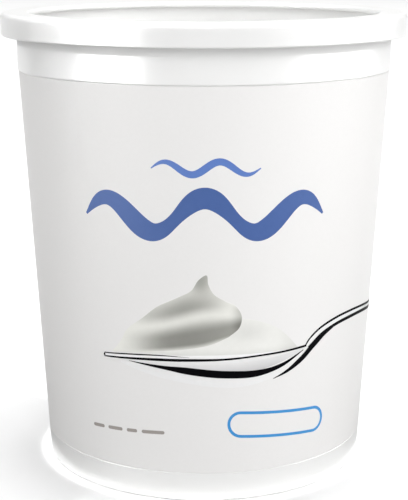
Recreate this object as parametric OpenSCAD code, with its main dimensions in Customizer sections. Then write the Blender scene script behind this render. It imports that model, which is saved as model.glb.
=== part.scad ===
// Plastic yogurt pot, moulded in one piece and open at the top, with a label wrapped round its wall.
// Sizes are in millimetres. The origin is the centre of the foot, and +Z is up.

/* [Pot] */
// Overall height, from the foot to the top of the rim
pot_h = 132; // [90:1:200]
// Outer radius at the foot
foot_r = 47.25; // [30:0.25:80]
// How much larger the radius is at the neck than at the foot
flare = 6.55; // [2:0.05:12]
// Thickness of the wall
wall_t = 0.7; // [0.5:0.05:1.6]
// Thickness of the floor
floor_t = 1; // [0.6:0.1:2.5]
// Radius inside, where the wall turns into the floor
floor_corner_r = 3; // [1:0.5:8]

/* [Rim] */
// How far the skirt stands out from the neck
rim_overhang = 4.35; // [3:0.05:8]
// Height of the skirt, from its lower edge to the top of the rim
skirt_h = 6.4; // [5:0.1:12]
// Thickness of the skirt
skirt_t = 1; // [0.7:0.05:1.8]
// Thickness of the flat land on top of the rim
land_t = 1.5; // [1:0.1:3]
// How far the land reaches over the mouth, from the inside of the neck
land_reach = 3.05; // [2:0.05:5]
// Rounding of the rim's outer top edge
rim_edge_r = 1.35; // [0.5:0.05:2]

/* [Neck] */
// Height of the bare band between the skirt and the label
neck_h = 9.8; // [5:0.1:20]
// How far the neck stands out from the label
neck_step = 0.25; // [0.1:0.05:1.5]
// How much the neck's radius grows towards the rim
neck_flare = 0.1; // [0:0.05:1]

/* [Foot] */
// Height of the bare band below the label
base_band_h = 8.3; // [4:0.1:20]
// Width of the ring that the pot stands on
foot_w = 2.2; // [2:0.1:5]
// Depth of the hollow under the floor
foot_h = 1.8; // [0.8:0.1:4]
// Rounding of the foot's outer edge
foot_edge_r = 0.9; // [0.3:0.05:1.4]
// Radius of the moulding mark at the middle of the hollow
gate_r = 2.2; // [1:0.1:4]
// Height of the moulding mark
gate_h = 0.4; // [0.2:0.05:0.7]

/* [Label] */
// Thickness of the label
label_t = 0.2; // [0.1:0.05:0.5]
// Glue gap behind the label
label_gap = 0.05; // [0.02:0.01:0.2]
// Bare gap between the label and the steps above and below it
label_margin = 0.15; // [0.05:0.05:1]

/* [Hidden] */

$fn = 180;
// Steps in each rounded corner of an outline
CORNER_STEPS = 8;
// Rounding where two hidden faces meet
INNER_R = 0.4;
// Rounding of a thin edge, as a share of its thickness
THIN_EDGE = 0.45;
// Rounding of the neck's lower edge, as a share of the step that it closes
STEP_EDGE = 0.9;
// Height over which the wall steps in below the neck
STEP_H = 1;

skirt_z = pot_h - skirt_h;
land_z = pot_h - land_t;
neck_z = skirt_z - neck_h;
floor_z = foot_h + floor_t;
label_recess = label_t + label_gap;

// Radius of the label's face at height z, which is also the face of the bare band below it
function face_r(z) = foot_r + flare * z / neck_z;
// Radius of the wall behind the label, and of its inside
function recess_r(z) = face_r(z) - label_recess;
function inside_r(z) = recess_r(z) - wall_t;

neck_low_r = face_r(neck_z) + neck_step;
neck_edge_r = (neck_step + label_recess) * STEP_EDGE;
neck_top_r = neck_low_r + neck_flare;
rim_r = neck_top_r + rim_overhang;
skirt_in_r = rim_r - skirt_t;
mouth_r = neck_top_r - wall_t - land_reach;
foot_in_r = foot_r - foot_w;

// The points of an arc of radius r that rounds the corner b between a and c
function corner(a, b, c, r) =
  let (
    u = (a - b) / norm(a - b),
    v = (c - b) / norm(c - b),
    half = acos(u * v) / 2,
    middle = b + (u + v) / norm(u + v) * r / sin(half),
    first = b + u * r / tan(half) - middle,
    last = b + v * r / tan(half) - middle,
    from = atan2(first.y, first.x),
    turn = (atan2(last.y, last.x) - from + 540) % 360 - 180
  )
  [for (i = [0 : CORNER_STEPS]) let (t = from + turn * i / CORNER_STEPS) middle + r * [cos(t), sin(t)]];

// An outline of [radius, height, rounding] as plain points
function rounded(outline) =
  let (n = len(outline), flat = [for (p = outline) [p.x, p.y]])
  [
    for (i = [0 : n - 1])
      each outline[i].z > 0
        ? corner(flat[(i + n - 1) % n], flat[i], flat[(i + 1) % n], outline[i].z)
        : [flat[i]]
  ];

// The pot's half section, up the outside and down the inside
module pot_section() {
  foot_outside = [
    [foot_in_r, 0, INNER_R],
    [foot_r, 0, foot_edge_r],
    [face_r(base_band_h), base_band_h, 0],
    [recess_r(base_band_h), base_band_h, 0],
  ];
  neck_outside = [
    [recess_r(neck_z), neck_z, 0],
    [neck_low_r, neck_z, neck_edge_r],
    [neck_top_r, land_z, INNER_R],
  ];
  rim = [
    [skirt_in_r, land_z, INNER_R],
    [skirt_in_r, skirt_z, skirt_t * THIN_EDGE],
    [rim_r, skirt_z, skirt_t * THIN_EDGE],
    [rim_r, pot_h, rim_edge_r],
    [mouth_r, pot_h, land_t * THIN_EDGE],
    [mouth_r, land_z, land_t * THIN_EDGE],
  ];
  inside = [
    [neck_top_r - wall_t, land_z, INNER_R],
    [neck_low_r - wall_t, neck_z, 0],
    [inside_r(neck_z - STEP_H), neck_z - STEP_H, 0],
    [inside_r(floor_z), floor_z, floor_corner_r],
    [0, floor_z, 0],
  ];
  under = [
    [0, foot_h - gate_h, 0],
    [gate_r, foot_h - gate_h, 0],
    [gate_r, foot_h, 0],
    [foot_in_r - foot_h, foot_h, INNER_R],
  ];
  polygon(rounded(concat(foot_outside, neck_outside, rim, inside, under)));
}

// One moulding: foot, tapered wall, neck, and a rim with a hanging skirt
module pot() {
  color("white") rotate_extrude() pot_section();
}

// A thin sleeve that lies in the wall's recess, flush with the band below it
module label() {
  low = base_band_h + label_margin;
  high = neck_z - label_margin;
  color("gainsboro")
    rotate_extrude()
      polygon([
        [face_r(low) - label_t, low],
        [face_r(low), low],
        [face_r(high), high],
        [face_r(high) - label_t, high],
      ]);
}

pot();
label();
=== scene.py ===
"""The looks of an open plastic yogurt pot with a printed paper label.

Lengths are worked in millimetres and turned to metres where a mesh is made.
The pot's axis is +Z, the front of the print faces -Y, and a place on the label is
(u, z): millimetres round the label to the right of the front, and height.
"""
import math

import bpy
import numpy as np
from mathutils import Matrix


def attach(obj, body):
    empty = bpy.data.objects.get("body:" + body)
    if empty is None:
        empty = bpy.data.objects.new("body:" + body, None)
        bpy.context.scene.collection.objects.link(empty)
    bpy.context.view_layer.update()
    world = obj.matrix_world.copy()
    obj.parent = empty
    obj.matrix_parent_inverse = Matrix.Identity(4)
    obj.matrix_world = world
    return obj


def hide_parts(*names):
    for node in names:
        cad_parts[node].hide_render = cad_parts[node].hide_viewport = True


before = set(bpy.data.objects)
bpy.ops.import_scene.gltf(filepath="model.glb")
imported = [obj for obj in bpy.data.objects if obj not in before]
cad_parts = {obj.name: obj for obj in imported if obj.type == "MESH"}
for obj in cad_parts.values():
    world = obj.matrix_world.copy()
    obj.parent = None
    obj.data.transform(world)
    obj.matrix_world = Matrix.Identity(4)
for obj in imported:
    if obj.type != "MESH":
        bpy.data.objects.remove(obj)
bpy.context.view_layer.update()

MM = 0.001

# ---------------------------------------------------------------- sizes, in mm
POT_H = 132.0
FOOT_R = 47.25          # outer radius at the foot
FLARE = 6.55            # growth of the radius from the foot to the neck
WALL_T = 0.7
FLOOR_T = 1.0
FLOOR_CORNER_R = 3.0
RIM_OVERHANG = 4.35     # how far the skirt stands out from the neck
SKIRT_H = 6.4
SKIRT_T = 1.0
LAND_T = 1.5            # the flat land on top of the rim
LAND_REACH = 3.05       # how far the land runs in over the mouth
RIM_EDGE_R = 1.35
NECK_H = 9.8
NECK_STEP = 0.25        # how far the neck stands out from the label
NECK_FLARE = 0.1
BASE_BAND_H = 8.3       # the bare band below the label
FOOT_W = 2.2
FOOT_H = 1.8
FOOT_EDGE_R = 0.9
GATE_R = 2.2            # the moulding mark under the floor
GATE_H = 0.4
LABEL_T = 0.2
LABEL_GAP = 0.05        # the glue under the label
LABEL_MARGIN = 0.15
SEAM_LAP = 7.0          # how far the label's end lies over its start, at the back
SEAM_CLIMB = 2.5        # length over which the end rises onto the start
SEAM_LIFT = 1.1 * LABEL_T       # a little over one sheet, so that the two stay apart
FILM_T = 0.012          # thickness of one film of ink, drawn thicker than real ink
INNER_R = 0.4           # rounding of small corners
THIN_EDGE = 0.45        # rounding of a thin edge, as a share of its thickness
STEP_EDGE = 0.9         # rounding of the neck's lower edge, as a share of its step
BAND_EDGE_R = 0.12
GATE_EDGE_R = 0.15
STEP_H = 1.0            # height over which the inside widens to the neck

SKIRT_Z = POT_H - SKIRT_H
LAND_Z = POT_H - LAND_T
NECK_Z = SKIRT_Z - NECK_H
FLOOR_Z = FOOT_H + FLOOR_T
LABEL_RECESS = LABEL_T + LABEL_GAP
LABEL_R = 50.5          # radius at which u is measured, near the label's middle
FLOOR_SIZE = 12000.0    # the studio sheet's side
FLOOR_DROP = 0.05       # how far the sheet lies under the foot
CARD_GAP = 2.6          # bare floor between the foot and the cards round it
CARD_REACH = 5900.0     # outer radius of the cards
CARD_LIFT = 1.0         # height of the cards over the floor
CARD_STEPS = 24         # straight stretches that make up a card's curve


def face_r(z):
    """Radius of the label's face at height z: a straight line from foot to neck."""
    return FOOT_R + FLARE * z / NECK_Z


# ------------------------------------------------------------------ small tools
def to_linear(values):
    """sRGB values from 0 to 255 as linear light from 0 to 1."""
    share = np.asarray(values) / 255
    return np.where(share <= 0.04045, share / 12.92, ((share + 0.055) / 1.055) ** 2.4)


def srgb(hex_colour):
    """A hex colour as linear RGBA."""
    return to_linear([int(hex_colour[i:i + 2], 16) for i in (1, 3, 5)]).tolist() + [1.0]


def add_node(tree, kind, links=None, **settings):
    """Adds a shader node. settings sets its attributes, or its inputs by name with
    spaces as underscores; links joins an input's name to another node's output."""
    made = tree.nodes.new(kind)
    for name, value in settings.items():
        socket = made.inputs.get(name.replace("_", " "))
        if socket is not None and not hasattr(made, name):
            socket.default_value = value
        else:
            setattr(made, name, value)
    for name, source in (links or {}).items():
        tree.links.new(source, made.inputs[name])
    return made


def mesh_piece(name, verts, faces, material, smooth_under=35.0):
    """A mesh object at the origin from points in mm. Edges sharper than smooth_under
    degrees stay crisp."""
    mesh = bpy.data.meshes.new(name)
    faces = faces.tolist() if isinstance(faces, np.ndarray) else faces
    mesh.from_pydata((np.asarray(verts) * MM).tolist(), [], faces)
    mesh.validate()
    mesh.polygons.foreach_set("use_smooth", [True] * len(mesh.polygons))
    mesh.set_sharp_from_angle(angle=math.radians(smooth_under))
    mesh.materials.append(material)
    piece = bpy.data.objects.new(name, mesh)
    bpy.context.scene.collection.objects.link(piece)
    return piece


# ------------------------------------------------------------------- materials
def polypropylene(name, gloss, haze, rough_low, rough_high):
    """Injection-moulded polypropylene, white. It has an even soft gloss over a faint
    orange-peel texture, and a slight cloudiness where the melt cooled unevenly. gloss
    is its specular level, haze is how much light it spreads under its surface, and its
    roughness lies between the two values."""
    material = bpy.data.materials.new(name)
    material.use_nodes = True
    tree = material.node_tree
    shader = tree.nodes["Principled BSDF"]
    shader.inputs["IOR"].default_value = 1.55
    shader.inputs["Specular IOR Level"].default_value = gloss
    shader.inputs["Anisotropic"].default_value = 0.45
    shader.inputs["Anisotropic Rotation"].default_value = 0.25
    shader.inputs["Subsurface Weight"].default_value = haze
    shader.inputs["Subsurface Radius"].default_value = (1.0, 1.0, 1.0)
    shader.inputs["Subsurface Scale"].default_value = 2.0 * MM
    around = add_node(tree, "ShaderNodeTangent", direction_type="RADIAL", axis="Z")
    tree.links.new(around.outputs["Tangent"], shader.inputs["Tangent"])
    place = add_node(tree, "ShaderNodeTexCoord").outputs["Object"]
    cloud = add_node(tree, "ShaderNodeTexNoise", {"Vector": place}, Scale=1 / (14 * MM), Detail=3.0)
    tint = add_node(tree, "ShaderNodeMix", {"Factor": cloud.outputs["Fac"]}, data_type="RGBA")
    tint.inputs["A"].default_value = srgb("#EEEEED")
    tint.inputs["B"].default_value = srgb("#F0F0EF")
    tree.links.new(tint.outputs["Result"], shader.inputs["Base Color"])
    roughness = add_node(tree, "ShaderNodeMapRange", {"Value": cloud.outputs["Fac"]},
                         To_Min=rough_low, To_Max=rough_high)
    tree.links.new(roughness.outputs["Result"], shader.inputs["Roughness"])
    peel = add_node(tree, "ShaderNodeTexNoise", {"Vector": place}, Scale=1 / (1.1 * MM), Detail=2.0)
    bump = add_node(tree, "ShaderNodeBump", {"Height": peel.outputs["Fac"]},
                    Strength=0.05, Distance=0.02 * MM)
    tree.links.new(bump.outputs["Normal"], shader.inputs["Normal"])
    return material


def coated_paper():
    """Coated label paper, off-white and satin. Its fibres give a faint mottle under
    the coating, and a very small unevenness to the sheen."""
    material = bpy.data.materials.new("satin_coated_paper")
    material.use_nodes = True
    tree = material.node_tree
    shader = tree.nodes["Principled BSDF"]
    shader.inputs["IOR"].default_value = 1.45
    shader.inputs["Specular IOR Level"].default_value = 0.3
    place = add_node(tree, "ShaderNodeTexCoord").outputs["Object"]
    fibre = add_node(tree, "ShaderNodeTexNoise", {"Vector": place}, Scale=1 / (0.9 * MM), Detail=4.0)
    tint = add_node(tree, "ShaderNodeMix", {"Factor": fibre.outputs["Fac"]}, data_type="RGBA")
    tint.inputs["A"].default_value = srgb("#E9E8E7")
    tint.inputs["B"].default_value = srgb("#ECEBEA")
    tree.links.new(tint.outputs["Result"], shader.inputs["Base Color"])
    sheen = add_node(tree, "ShaderNodeMapRange", {"Value": fibre.outputs["Fac"]}, To_Min=0.52, To_Max=0.62)
    tree.links.new(sheen.outputs["Result"], shader.inputs["Roughness"])
    bump = add_node(tree, "ShaderNodeBump", {"Height": fibre.outputs["Fac"]},
                    Strength=0.06, Distance=0.02 * MM)
    tree.links.new(bump.outputs["Normal"], shader.inputs["Normal"])
    return material


def printing_ink(name, hex_colour, hex_thin, gloss=0.3):
    """Offset ink on coated paper: satin like the sheet, and a little thinner in places,
    where more of the paper shows through."""
    material = bpy.data.materials.new(name)
    material.use_nodes = True
    tree = material.node_tree
    shader = tree.nodes["Principled BSDF"]
    shader.inputs["IOR"].default_value = 1.45
    shader.inputs["Specular IOR Level"].default_value = gloss
    shader.inputs["Roughness"].default_value = 0.5
    place = add_node(tree, "ShaderNodeTexCoord").outputs["Object"]
    density = add_node(tree, "ShaderNodeTexNoise", {"Vector": place}, Scale=1 / (1.6 * MM), Detail=3.0)
    tint = add_node(tree, "ShaderNodeMix", {"Factor": density.outputs["Fac"]}, data_type="RGBA")
    tint.inputs["A"].default_value = srgb(hex_colour)
    tint.inputs["B"].default_value = srgb(hex_thin)
    tree.links.new(tint.outputs["Result"], shader.inputs["Base Color"])
    return material


def halftone_ink():
    """The same ink laid as soft tones, which the piece's own "tone" attribute holds."""
    material = printing_ink("halftone_ink_on_paper", "#FFFFFF", "#F8F8F8")
    tree = material.node_tree
    shader = tree.nodes["Principled BSDF"]
    grain = shader.inputs["Base Color"].links[0].from_socket
    tone = add_node(tree, "ShaderNodeAttribute", attribute_name="tone")
    both = add_node(tree, "ShaderNodeMix", data_type="RGBA", blend_type="MULTIPLY")
    both.inputs["Factor"].default_value = 1.0
    tree.links.new(tone.outputs["Color"], both.inputs["A"])
    tree.links.new(grain, both.inputs["B"])
    tree.links.new(both.outputs["Result"], shader.inputs["Base Color"])
    return material


def pale_sheet():
    """The matt studio sheet that the pot stands on."""
    material = bpy.data.materials.new("matt_studio_sheet")
    material.use_nodes = True
    tree = material.node_tree
    shader = tree.nodes["Principled BSDF"]
    shader.inputs["Roughness"].default_value = 0.9
    shader.inputs["Specular IOR Level"].default_value = 0.1
    place = add_node(tree, "ShaderNodeTexCoord").outputs["Object"]
    nap = add_node(tree, "ShaderNodeTexNoise", {"Vector": place}, Scale=40.0, Detail=2.0)
    tint = add_node(tree, "ShaderNodeMix", {"Factor": nap.outputs["Fac"]}, data_type="RGBA")
    tint.inputs["A"].default_value = srgb("#F6F6F6")
    tint.inputs["B"].default_value = srgb("#FAFAFA")
    tree.links.new(tint.outputs["Result"], shader.inputs["Base Color"])
    return material


# -------------------------------------------------------------------- the pot
def rounded(outline, steps=8):
    """An outline of (radius, height, rounding) as points. Each rounded corner becomes
    an arc that touches both of its sides, with its middle on the corner's bisector."""
    flat = np.array([p[:2] for p in outline], float)
    points = []
    for i, (_, _, r) in enumerate(outline):
        before, corner, after = flat[i - 1], flat[i], flat[(i + 1) % len(flat)]
        if r <= 0:
            points.append(corner)
            continue
        u = (before - corner) / np.linalg.norm(before - corner)
        v = (after - corner) / np.linalg.norm(after - corner)
        half = math.acos(float(u @ v)) / 2
        middle = corner + (u + v) / np.linalg.norm(u + v) * r / math.sin(half)
        first = corner + u * r / math.tan(half) - middle
        last = corner + v * r / math.tan(half) - middle
        start = math.atan2(first[1], first[0])
        turn = (math.atan2(last[1], last[0]) - start + 3 * math.pi) % (2 * math.pi) - math.pi
        angles = start + turn * np.linspace(0, 1, steps + 1)
        points.extend(middle + r * np.stack([np.cos(angles), np.sin(angles)], 1))
    return np.array(points)


def pot_outline():
    """The pot's half section, up the outside and down the inside."""
    def recess_r(z):
        return face_r(z) - LABEL_RECESS

    def inside_r(z):
        return recess_r(z) - WALL_T

    neck_low_r = face_r(NECK_Z) + NECK_STEP
    neck_top_r = neck_low_r + NECK_FLARE
    rim_r = neck_top_r + RIM_OVERHANG
    skirt_in_r = rim_r - SKIRT_T
    mouth_r = neck_top_r - WALL_T - LAND_REACH
    foot_in_r = FOOT_R - FOOT_W
    return [
        (foot_in_r, 0, INNER_R),
        (FOOT_R, 0, FOOT_EDGE_R),
        (face_r(BASE_BAND_H), BASE_BAND_H, BAND_EDGE_R),
        (recess_r(BASE_BAND_H), BASE_BAND_H, 0),
        (recess_r(NECK_Z), NECK_Z, 0),
        (neck_low_r, NECK_Z, (NECK_STEP + LABEL_RECESS) * STEP_EDGE),
        (neck_top_r, LAND_Z, INNER_R),
        (skirt_in_r, LAND_Z, INNER_R),
        (skirt_in_r, SKIRT_Z, SKIRT_T * THIN_EDGE),
        (rim_r, SKIRT_Z, SKIRT_T * THIN_EDGE),
        (rim_r, POT_H, RIM_EDGE_R),
        (mouth_r, POT_H, LAND_T * THIN_EDGE),
        (mouth_r, LAND_Z, LAND_T * THIN_EDGE),
        (neck_top_r - WALL_T, LAND_Z, INNER_R),
        (neck_low_r - WALL_T, NECK_Z, 0),
        (inside_r(NECK_Z - STEP_H), NECK_Z - STEP_H, 0),
        (inside_r(FLOOR_Z), FLOOR_Z, FLOOR_CORNER_R),
        (0, FLOOR_Z, 0),
        (0, FOOT_H - GATE_H, 0),
        (GATE_R, FOOT_H - GATE_H, GATE_EDGE_R),
        (GATE_R, FOOT_H, 0),
        (foot_in_r - FOOT_H, FOOT_H, INNER_R),
    ]


def with_guards(points, longest=5.0, guard=0.25):
    """Cuts each straight side so that no cut is over longest, and adds a point close
    to both of its ends, which keeps the shading of a flat side flat."""
    out = []
    for here, there in zip(points, np.roll(points, -1, axis=0)):
        length = np.linalg.norm(there - here)
        out.append(here)
        if length > 4 * guard and not (here[0] == 0 and there[0] == 0):
            cuts = np.linspace(guard, length - guard, max(2, math.ceil(length / longest)))
            out.extend(here + (there - here) * cuts[:, None] / length)
    return np.array(out)


def turned(points, around=320):
    """A closed outline of (radius, height) turned about the axis: the point at angle a
    is (r sin a, -r cos a, z). A point on the axis becomes one vertex."""
    angles = np.arange(around) * 2 * math.pi / around
    ring = np.stack([np.sin(angles), -np.cos(angles)], 1)
    verts, rows, count = [], [], 0
    for r, z in points:
        if r < 1e-9:
            verts.append([[0, 0, z]])
            rows.append(np.full(around, count))
            count += 1
        else:
            verts.append(np.column_stack([ring * r, np.full(around, z)]))
            rows.append(np.arange(count, count + around))
            count += around
    faces = []
    for low, high in zip(rows, rows[1:] + rows[:1]):
        if low[0] == low[1] and high[0] == high[1]:
            continue
        quads = np.stack([low, np.roll(low, -1), np.roll(high, -1), high], 1)
        if low[0] == low[1]:
            quads = quads[:, [0, 2, 3]]
        elif high[0] == high[1]:
            quads = quads[:, :3]
        faces.extend(quads.tolist())
    return np.concatenate([np.asarray(v, float) for v in verts]), faces


# ---------------------------------------------------------- label and its print
def on_label(u, z, lift=0.0):
    """The point at (u, z) on the label's face, raised by lift: the angle from the
    front is u over LABEL_R, and the radius is the face's at that height."""
    angle = np.asarray(u) / LABEL_R
    radius = face_r(np.asarray(z)) + lift
    return np.stack([radius * np.sin(angle), -radius * np.cos(angle), np.broadcast_to(z, angle.shape)], -1)


def slab(outer, inner):
    """A closed thin sheet between two grids of points of the same shape: both grids,
    and a strip round their four edges. outer is seen from outside."""
    rows, cols = outer.shape[:2]
    index = np.arange(rows * cols).reshape(rows, cols)

    def quads(grid):
        return np.stack([grid[:-1, :-1], grid[1:, :-1], grid[1:, 1:], grid[:-1, 1:]], -1).reshape(-1, 4)

    edge = np.concatenate([index[:-1, 0], index[-1, :-1], index[:0:-1, -1], index[0, :0:-1]])
    after = np.roll(edge, -1)
    size = rows * cols
    sides = np.stack([after, edge, edge + size, after + size], 1)
    faces = np.concatenate([quads(index), quads(index)[:, ::-1] + size, sides])
    return np.concatenate([outer.reshape(-1, 3), inner.reshape(-1, 3)]), faces


def curve_through(points, count, per_span=24):
    """count even steps along a smooth curve through the points (centripetal
    Catmull-Rom, with its ends carried straight on)."""
    p = np.asarray(points, float)
    p = np.concatenate([[2 * p[0] - p[1]], p, [2 * p[-1] - p[-2]]])
    t = np.linspace(0, 1, per_span, endpoint=False)[:, None]
    parts = []
    for a, b, c, d in zip(p, p[1:], p[2:], p[3:]):
        k = [0.0]
        for s, e in ((a, b), (b, c), (c, d)):
            k.append(k[-1] + max(1e-6, np.linalg.norm(e - s)) ** 0.5)
        x = k[1] + (k[2] - k[1]) * t
        a1 = (k[1] - x) / (k[1] - k[0]) * a + (x - k[0]) / (k[1] - k[0]) * b
        a2 = (k[2] - x) / (k[2] - k[1]) * b + (x - k[1]) / (k[2] - k[1]) * c
        a3 = (k[3] - x) / (k[3] - k[2]) * c + (x - k[2]) / (k[3] - k[2]) * d
        b1 = (k[2] - x) / (k[2] - k[0]) * a1 + (x - k[0]) / (k[2] - k[0]) * a2
        b2 = (k[3] - x) / (k[3] - k[1]) * a2 + (x - k[1]) / (k[3] - k[1]) * a3
        parts.append((k[2] - x) / (k[2] - k[1]) * b1 + (x - k[1]) / (k[2] - k[1]) * b2)
    dense = np.concatenate(parts + [p[-2:-1]])
    along = np.concatenate([[0], np.cumsum(np.linalg.norm(np.diff(dense, axis=0), axis=1))])
    even = np.linspace(0, along[-1], count)
    return np.stack([np.interp(even, along, dense[:, i]) for i in (0, 1)], 1)


def between(low, high, across=12):
    """A grid of (u, z) that runs straight from each point of one edge to the point
    as far along the other."""
    v = np.linspace(0, 1, across + 1)[None, :, None]
    return low[:, None] * (1 - v) + high[:, None] * v


def stroke(points, widths, count=120, across=2, round_ends=False):
    """A band carried along a smooth curve through the points. Its width runs smoothly
    through the widths given, and closes in a half circle at round ends."""
    path = curve_through(points, count)
    along = np.concatenate([[0], np.cumsum(np.linalg.norm(np.diff(path, axis=0), axis=1))])
    share = along / along[-1]
    knots = np.linspace(0, 1, len(widths))
    width = curve_through(np.column_stack([knots, widths]), 400)
    width = np.maximum(np.interp(share, width[:, 0], width[:, 1]), 0.01)
    if round_ends:
        left = np.minimum(along, along[-1] - along) / (width / 2)
        width = width * np.sqrt(np.clip(1 - (1 - np.minimum(left, 1)) ** 2, 1e-5, 1))
    way = np.gradient(path, axis=0)
    way /= np.linalg.norm(way, axis=1, keepdims=True)
    side = np.stack([-way[:, 1], way[:, 0]], 1) * width[:, None] / 2
    return between(path - side, path + side, across)


def ink_film(name, grid, level, material, tone=None):
    """A film of ink on the label over a grid of (u, z). level sets which film lies
    over which. tone gives an sRGB grey or colour from 0 to 255 at (u, z)."""
    u, z = grid[..., 0], grid[..., 1]
    step_u, step_z = np.diff(grid, axis=0)[:, :-1], np.diff(grid, axis=1)[:-1]
    if np.sum(step_u[..., 0] * step_z[..., 1] - step_u[..., 1] * step_z[..., 0]) < 0:
        u, z = u[:, ::-1], z[:, ::-1]
    verts, faces = slab(on_label(u, z, FILM_T * level), on_label(u, z, -FILM_T))
    piece = mesh_piece(name, verts, faces, material)
    if tone is not None:
        colour = np.clip(tone(u, z), 0, 255)
        colour = colour if colour.ndim == 3 else np.repeat(colour[..., None], 3, -1)
        linear = to_linear(colour)
        rgba = np.concatenate([linear, np.ones_like(linear[..., :1])], -1).reshape(-1, 4)
        layer = piece.data.color_attributes.new("tone", "FLOAT_COLOR", "POINT")
        layer.data.foreach_set("color", np.concatenate([rgba, rgba]).ravel())
    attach(piece, "root")


def bell(x, middle, spread):
    """A smooth hump of height 1."""
    return np.exp(-((x - middle) / spread) ** 2)


def ramp(x, start, end):
    """0 before start and 1 after end, with a smooth turn between."""
    t = np.clip((x - start) / (end - start), 0, 1)
    return t * t * (3 - 2 * t)


# ---------------------------------------------------------------- the pot, built
polished = polypropylene("white_polypropylene_polished", gloss=1.0, haze=0.7,
                         rough_low=0.29, rough_high=0.32)
draw_stoned = polypropylene("white_polypropylene_draw_stoned", gloss=0.2, haze=0.2,
                            rough_low=0.55, rough_high=0.6)
paper = coated_paper()

verts, faces = turned(with_guards(rounded(pot_outline())))
pot = mesh_piece("pot_moulding", verts, faces, polished)
# the inside is duller, as a mould's core is usually polished less than its cavity
pot.data.materials.append(draw_stoned)
centres = np.zeros(3 * len(pot.data.polygons))
pot.data.polygons.foreach_get("center", centres)
centres = centres.reshape(-1, 3) / MM
across, up = np.hypot(centres[:, 0], centres[:, 1]), centres[:, 2]
wall_middle = face_r(up) - LABEL_RECESS - WALL_T / 2 + (LABEL_RECESS + NECK_STEP) * (up > NECK_Z)
slack = 0.1             # so that the floor's flat faces count as inside
inside = (across < wall_middle) & (up > FLOOR_Z - slack) & (up < LAND_Z)
pot.data.polygons.foreach_set("material_index", inside.astype(np.int32))
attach(pot, "root")
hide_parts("pot")


def label_sheet(columns=420, rows=20, edge=0.1, margin=3.0):
    """A sheet wrapped once round the pot from the back, u being the way round and z the
    height. Its far end lies over its start: the lift is SEAM_LIFT times a smooth ramp of
    u. Rows are even between the margins, with one more at edge from each side, which
    keeps the shading of the face flat."""
    low, high = BASE_BAND_H + LABEL_MARGIN, NECK_Z - LABEL_MARGIN
    half_turn = math.pi * LABEL_R
    u = np.linspace(-half_turn, half_turn + SEAM_LAP, columns)
    middle = np.linspace(low + margin, high - margin, rows)
    z = np.concatenate([[low, low + edge], middle, [high - edge, high]])
    u, z = np.meshgrid(u, z, indexing="ij")
    lift = SEAM_LIFT * ramp(u, half_turn - SEAM_CLIMB, half_turn)
    return slab(on_label(u, z, lift), on_label(u, z, lift - LABEL_T))


label = mesh_piece("label_wrap", *label_sheet(), paper, smooth_under=60.0)
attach(label, "root")
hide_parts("label")

# -------------------------------------------------------------------- the print
BOW = 0.0014            # the print's level lines sink to either side by this times u squared

deep_blue = printing_ink("deep_blue_ink_on_paper", "#44609B", "#4A66A2")
soft_blue = printing_ink("soft_blue_ink_on_paper", "#5B7BC0", "#6181C5")
sky_blue = printing_ink("sky_blue_ink_on_paper", "#3A8FD0", "#4295D4")
warm_grey = printing_ink("warm_grey_ink_on_paper", "#9A948F", "#A09A95")
black = printing_ink("black_ink_on_paper", "#040406", "#060609", gloss=0.04)
halftone = halftone_ink()


def bowed(points):
    """Points of an outline, sunk to either side as the print's level lines are."""
    p = np.asarray(points, float)
    return np.column_stack([p[:, 0], p[:, 1] - BOW * p[:, 0] ** 2])


def wave(start, end, z, height, turns, count=78):
    """Points along a level wave: z plus height times the sine of so many turns."""
    u = np.linspace(start, end, count)
    phase = (u - start) / (end - start) * 2 * math.pi * turns
    return bowed(np.column_stack([u, z + height * np.sin(phase)]))


# a bold milk wave with a lighter one above it
ink_film("print_wave_bold",
         stroke(wave(-33, 33.5, 82.0, 4.6, 2.5), [0.6, 4.4, 5.6, 3.4, 5.8, 3.4, 5.6, 4.4, 0.6], count=260),
         1, deep_blue)
ink_film("print_wave_light",
         stroke(wave(-13.4, 14.4, 94.6, 1.7, 2.0), [0.3, 1.7, 2.0, 1.7, 0.3], count=140),
         1, soft_blue)

# a thin rounded frame for the flavour, left empty
FRAME_U, FRAME_Z, FRAME_W, FRAME_H = 22.6, 21.6, 31.0, 7.0      # middle and outer size
FRAME_LINE, FRAME_SLOPE = 0.85, -0.085


def pill(u, z, width, height, slope, count=160):
    """A closed outline: two level sides joined by half circles, tilted by slope."""
    r = height / 2
    straight, arc = width - height, math.pi * r
    d = np.linspace(0, 2 * (straight + arc), count, endpoint=False)
    x, y = np.zeros(count), np.zeros(count)
    part = np.searchsorted(np.cumsum([straight, arc, straight, arc]), d, side="right")
    starts = [(None, 0), (1, straight), (None, straight + arc), (-1, 2 * straight + arc)]
    for k, (cx, start) in enumerate(starts):
        on = part == k
        t = d[on] - start
        if cx is None:
            way = 1 if k == 0 else -1
            x[on], y[on] = way * (t - straight / 2), -way * r
        else:
            x[on] = cx * (straight / 2 + r * np.sin(t / r))
            y[on] = -cx * r * np.cos(t / r)
    return np.column_stack([u + x, z + y + slope * x])


def closed_band(outline, width):
    """A band of even width along a closed outline, as a grid that meets itself."""
    p = np.concatenate([outline, outline[:1]])
    way = (np.roll(outline, -1, axis=0) - np.roll(outline, 1, axis=0))
    way = np.concatenate([way, way[:1]])
    way /= np.linalg.norm(way, axis=1, keepdims=True)
    side = np.stack([-way[:, 1], way[:, 0]], 1) * width / 2
    return between(p - side, p + side, across=2)


ink_film("print_flavour_frame",
         closed_band(pill(FRAME_U, FRAME_Z, FRAME_W, FRAME_H, FRAME_SLOPE), FRAME_LINE), 1, sky_blue)

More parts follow.
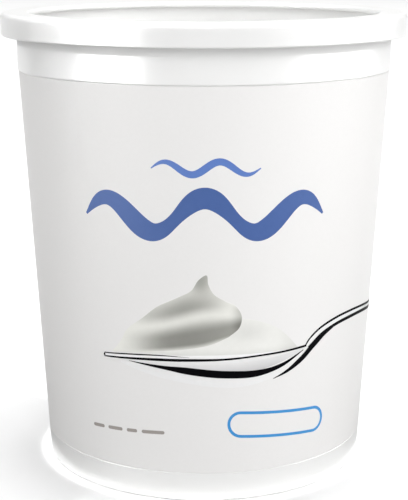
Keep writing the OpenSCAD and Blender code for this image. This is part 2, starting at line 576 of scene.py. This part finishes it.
# a short row of small grey marks, which rises a little to the right
MARK_U, MARK_Z, MARK_H, MARK_SLOPE = -23, 19.6, 1.0, 0.045
for index, (start, end) in enumerate([(-35.2, -31.0), (-29.6, -24.6), (-23.2, -19.8), (-18.4, -11.4)]):
    bar = [(u, MARK_Z + MARK_SLOPE * (u - MARK_U)) for u in np.linspace(start, end, 4)]
    ink_film(f"print_grey_mark_{index + 1}",
             stroke(bar, [MARK_H, MARK_H], count=40, round_ends=True), 1, warm_grey)

# ------------------------------------------------------ the spoon and its swirl
# levels of its films, from the paper up: 1 glow, 2 bowl, 3 mound, 4 handle, 5 swirl,
# 6 light rim, 7 dark lines

def swirl_tone(u, z):
    """Light falling on two rolls of yogurt with a bright ridge between them. The upper
    roll is darkest a little above the ridge, the lower one towards its under edge,
    where it turns under and then meets the light yogurt below; the peak is shaded."""
    ridge = 50.2 + 3.9 * ramp(u, -22, 8) + 1.0 * bell(u, -1, 8)
    away = z - ridge
    depth = 0.35 * ramp(u, -24, -14) * (1 - ramp(u, 0, 8)) + 0.65 * bell(u, -5.5, 8.5)
    tone = 240 - depth * 76 * bell(away, 3.0, 2.0 + 1.2 * (away > 3.0))
    under = ridge - (43.9 + 0.13 * (u + 13) + 1.6 * ramp(u, -2, 9))
    tone = tone - ramp(u, -25, -9) * (0.78 + 0.22 * bell(u, -5, 11)) * 98 * ramp(-away / under, -0.04, 0.56)
    tone = tone - 14 * ramp(away, 3.0, 8.0) * ramp(u, -14, -4)
    tone = tone - 44 * bell(u, -1.0, 2.4) * ramp(z, 59.0, 63.5) - 18 * ramp(z, 61, 65)
    tone = tone - 44 * ramp(u, 6.6, 10.6) * ramp(z, 48, 52) * (1 - ramp(z, 55.5, 58.5))
    light = ramp(-away / under, 0.84, 1.04)
    return tone + (236 - tone) * 0.85 * light


def mound_tone(u, z):
    """The yogurt that lies along the spoon: nearly white, greyer where it turns away
    and just under the rolls."""
    tone = 241 - 16 * ramp(u, 18, 28) - 14 * bell(z, 49.5, 3.0) * bell(u, 12, 6)
    return tone - 12 * bell(z, 43.0, 1.2)


def warmed(tone, by):
    """A tone function with a little less blue in it."""
    def coloured(u, z):
        grey = tone(u, z)
        return np.stack([grey, grey, grey - by], -1)
    return coloured


def even_tone(grey):
    """A tone function that is the same grey all over."""
    return lambda u, z: np.full_like(u, grey)


def bowl_tone(u, z):
    """The spoon's bright bowl, greyer below and towards the handle."""
    return 243 - 34 * ramp(-(z - 42), 0, 4.5) - 18 * ramp(u, 5, 26)


def handle_tone(u, z):
    """The handle's top, with soft bands of shade along it."""
    return 238 - 30 * bell(np.sin(u / 9), 0.6, 0.5)


mound_low = curve_through([(-26.0, 42.2), (-12, 42.9), (2, 43.2), (16, 43.1), (27.6, 42.9)],
                          count=90)
mound_high = curve_through(
    [(-26.0, 42.35), (-14, 46.0), (2, 52.0), (10.2, 53.2), (15.4, 52.2), (20.4, 49.9), (24.2, 46.8),
     (27.6, 43.05)], count=90)
swirl_low = curve_through(
    [(-26.6, 42.3), (-20, 43.1), (-13, 43.9), (-4.5, 44.9), (2.0, 46.2), (6.6, 48.2)], count=150)
swirl_high = curve_through(
    [(-26.6, 42.45), (-23.8, 45.8), (-21.6, 49.4), (-17.0, 53.0), (-12.6, 56.6), (-7.4, 59.2), (-3.4, 61.4),
     (-1.4, 64.4), (0.7, 65.7), (1.1, 63.2), (2.6, 60.4), (5.6, 58.4), (8.6, 56.8), (10.2, 53.9),
     (9.6, 50.8), (6.75, 48.3)], count=150)

ink_film("print_mound", between(mound_low, mound_high, across=30), 3, halftone,
         warmed(mound_tone, by=4))
ink_film("print_swirl", between(swirl_low, swirl_high, across=70), 5, halftone,
         warmed(swirl_tone, by=6))

# the spoon seen from its side: the far rim, the bowl, its dark underside, the handle
spoon_tones = [
    # name, points, widths, level, tone
    ("glow", [(-24, 39.6), (-8, 37.4), (8, 35.8), (22, 36.4)],
     [0.4, 3.6, 4.4, 0.6], 1, even_tone(240)),
    ("bowl", [(-29.2, 40.9), (-16, 40.6), (0, 39.7), (14, 39.6), (24, 41.2), (30.2, 42.9)],
     [0.5, 1.6, 4.0, 4.4, 2.6, 0.4], 2, bowl_tone),
    ("rim_light", [(-28.8, 41.1), (-12, 42.0), (6, 42.6), (24, 42.9)],
     [0.5, 1.0, 0.9, 0.3], 6, even_tone(246)),
]
for name, points, widths, level, tone in spoon_tones:
    ink_film("print_spoon_" + name, stroke(points, widths, across=10), level, halftone, tone)

dark_strokes = [
    # name, points, widths
    ("tip", [(-29.3, 40.3), (-29.5, 41.0), (-29.2, 41.7)], [0.2, 0.5, 0.2]),
    ("rim_far", [(-29.0, 41.5), (-20, 42.3), (-12, 42.7), (-4, 42.5)], [0.3, 0.34, 0.26, 0.05]),
    ("rim_near",
     [(-29.1, 40.5), (-16.8, 41.3), (-4.3, 41.7), (6.0, 41.9), (15.4, 42.4), (24, 42.8), (30.4, 43.3)],
     [0.35, 0.6, 0.78, 0.76, 0.6, 0.5, 0.55, 0.6]),
    ("underside", [(-21.5, 40.3), (-7.4, 38.9), (5.9, 37.5), (15.6, 37.4), (22.5, 38.9), (29.4, 42.2)],
     [0.05, 1.0, 2.1, 2.1, 1.3, 0.15]),
    ("heel", [(19.9, 35.2), (24.3, 36.9), (29.2, 39.9), (32.6, 42.7), (36.4, 45.0), (42, 47.2)],
     [0.1, 0.9, 1.5, 1.6, 0.7, 0.12]),
    ("handle_high",
     [(30.2, 43.5), (31.4, 45.0), (35.0, 47.4), (41.5, 49.2), (49.5, 49.7), (58.5, 49.1), (68, 47.8),
      (80, 46.4), (92, 46.2), (98, 46.6)],
     [0.4, 0.65, 0.66, 0.66, 0.66, 0.64, 0.6, 0.6]),
    ("handle_low",
     [(31.2, 42.6), (35.9, 45.6), (41.7, 47.3), (49.5, 47.9), (58.5, 47.5), (68, 46.2), (80, 44.7),
      (92, 44.5), (98, 45.4)],
     [0.6, 0.95, 0.95, 0.95, 0.9, 0.85, 0.75, 0.7]),
]
for name, points, widths in dark_strokes:
    ink_film("print_spoon_" + name, stroke(points, widths, count=160), 7, black)

handle_line = [(31.0, 43.4), (35.4, 46.5), (41.6, 48.3), (49.5, 48.8), (58.5, 48.3), (68, 47.0),
               (80, 45.6), (92, 45.4), (98.6, 46.0)]
ink_film("print_spoon_handle",
         stroke(handle_line, [0.3, 1.2, 1.4, 1.4, 1.5, 1.6, 1.9, 1.3], count=160, across=6),
         4, halftone, handle_tone)

# -------------------------------------------------------------- floor and studio
def floor_sheet():
    """A flat square sheet just under the pot's foot."""
    square = np.array([[-1, -1, 0], [1, -1, 0], [1, 1, 0], [-1, 1, 0]])
    corners = square * FLOOR_SIZE / 2 - [0, 0, FLOOR_DROP]
    return mesh_piece("studio_floor", corners, np.array([[0, 1, 2, 3]]), pale_sheet())


floor_sheet()


def softbox(name, azimuth, elevation, distance, width, height, power, only_sheen=False,
            no_sheen=False):
    """A rectangular light that faces the pot's middle. Azimuth 0 is in front of the
    pot and 90 is to its right. only_sheen keeps it to the gloss of what it lights, and
    no_sheen keeps it out of the gloss."""
    light = bpy.data.lights.new(name, "AREA")
    light.shape, light.size, light.size_y = "RECTANGLE", width, height
    light.energy = power
    # a light that reaches matt faces is sampled one way only, or the cards dim the floor
    light.cycles.use_multiple_importance_sampling = only_sheen
    a, e = math.radians(azimuth), math.radians(elevation)
    back = np.array([math.sin(a) * math.cos(e), -math.cos(a) * math.cos(e), math.sin(e)])
    lamp = bpy.data.objects.new(name, light)
    lamp.location = (back * distance + np.array([0, 0, POT_H * MM / 2])).tolist()
    lamp.rotation_euler = (math.pi / 2 - e, 0, a)
    lamp.visible_camera = False
    lamp.visible_diffuse = lamp.visible_transmission = not only_sheen
    lamp.visible_glossy = not no_sheen
    bpy.context.scene.collection.objects.link(lamp)


def floor_card(name, start, end, grey):
    """A matt card just over the floor, a sector of a ring round the foot between two
    angles from the front. The camera doesn't see it and it casts no shadow: it keeps
    some of the floor's light off the pot. grey is the share of light it sends back."""
    material = bpy.data.materials.new("matt_" + name)
    material.use_nodes = True
    shader = material.node_tree.nodes["Principled BSDF"]
    shader.inputs["Base Color"].default_value = (grey, grey, grey, 1.0)
    shader.inputs["Roughness"].default_value = 1.0
    shader.inputs["Specular IOR Level"].default_value = 0.0
    angles = np.radians(np.linspace(start, end, CARD_STEPS + 1))
    edge = np.stack([np.sin(angles), -np.cos(angles), np.zeros_like(angles)], 1)
    verts = np.concatenate([edge * (FOOT_R + CARD_GAP), edge * CARD_REACH]) + [0, 0, CARD_LIFT]
    inner = np.arange(CARD_STEPS)
    outer = inner + CARD_STEPS + 1
    card = mesh_piece(name, verts, np.stack([inner, outer, outer + 1, inner + 1], 1), material)
    card.visible_camera = card.visible_shadow = card.visible_transmission = False


# name, start and end in degrees, grey
floor_card("card_left", -125, -38, 0.06)
floor_card("card_front", -38, 32, 0.22)
floor_card("card_right", 32, 115, 0.28)
# name, azimuth and elevation in degrees, distance, width and height in metres, watts
softbox("overhead", 180, 73, 4.5, 5.0, 5.0, 247)
softbox("fill_front", 0, 30, 1.2, 0.6, 0.6, 4.3)
softbox("fill_under_rim", 0, 5, 1.2, 0.9, 0.3, 3.7, no_sheen=True)
softbox("fill_left", -90, 20, 0.8, 0.5, 0.8, 2.6)
softbox("key_front_right", 45, 30, 1.0, 0.5, 0.8, 2.7)
softbox("key_right", 80, 30, 2.0, 1.4, 2.0, 10.5)
softbox("sheen_left", -56, 30, 0.45, 0.34, 0.9, 10.5, only_sheen=True)
softbox("sheen_right", 86, 30, 0.5, 0.6, 0.9, 11.0, only_sheen=True)

world = bpy.data.worlds.new("studio_air")
world.use_nodes = True
world.node_tree.nodes["Background"].inputs["Color"].default_value = (1.0, 1.0, 1.0, 1.0)
world.node_tree.nodes["Background"].inputs["Strength"].default_value = 0.24
bpy.context.scene.world = world
bpy.context.scene.view_settings.view_transform = "Standard"

# ------------------------------------------------------------------------ camera
CAMERA_AWAY = 0.3908    # metres in front of the pot's axis
CAMERA_UP = 0.1523      # metres above the floor
PITCH_DOWN = 13.2       # degrees below level

lens = bpy.data.cameras.new("camera")
lens.lens = 95.6
lens.sensor_width = 36.0
lens.clip_start, lens.clip_end = 0.05, 30.0
camera = bpy.data.objects.new("camera", lens)
camera.location = (0.0, -CAMERA_AWAY, CAMERA_UP)
camera.rotation_euler = (math.radians(90 - PITCH_DOWN), 0.0, 0.0)
bpy.context.scene.collection.objects.link(camera)
bpy.context.scene.camera = camera
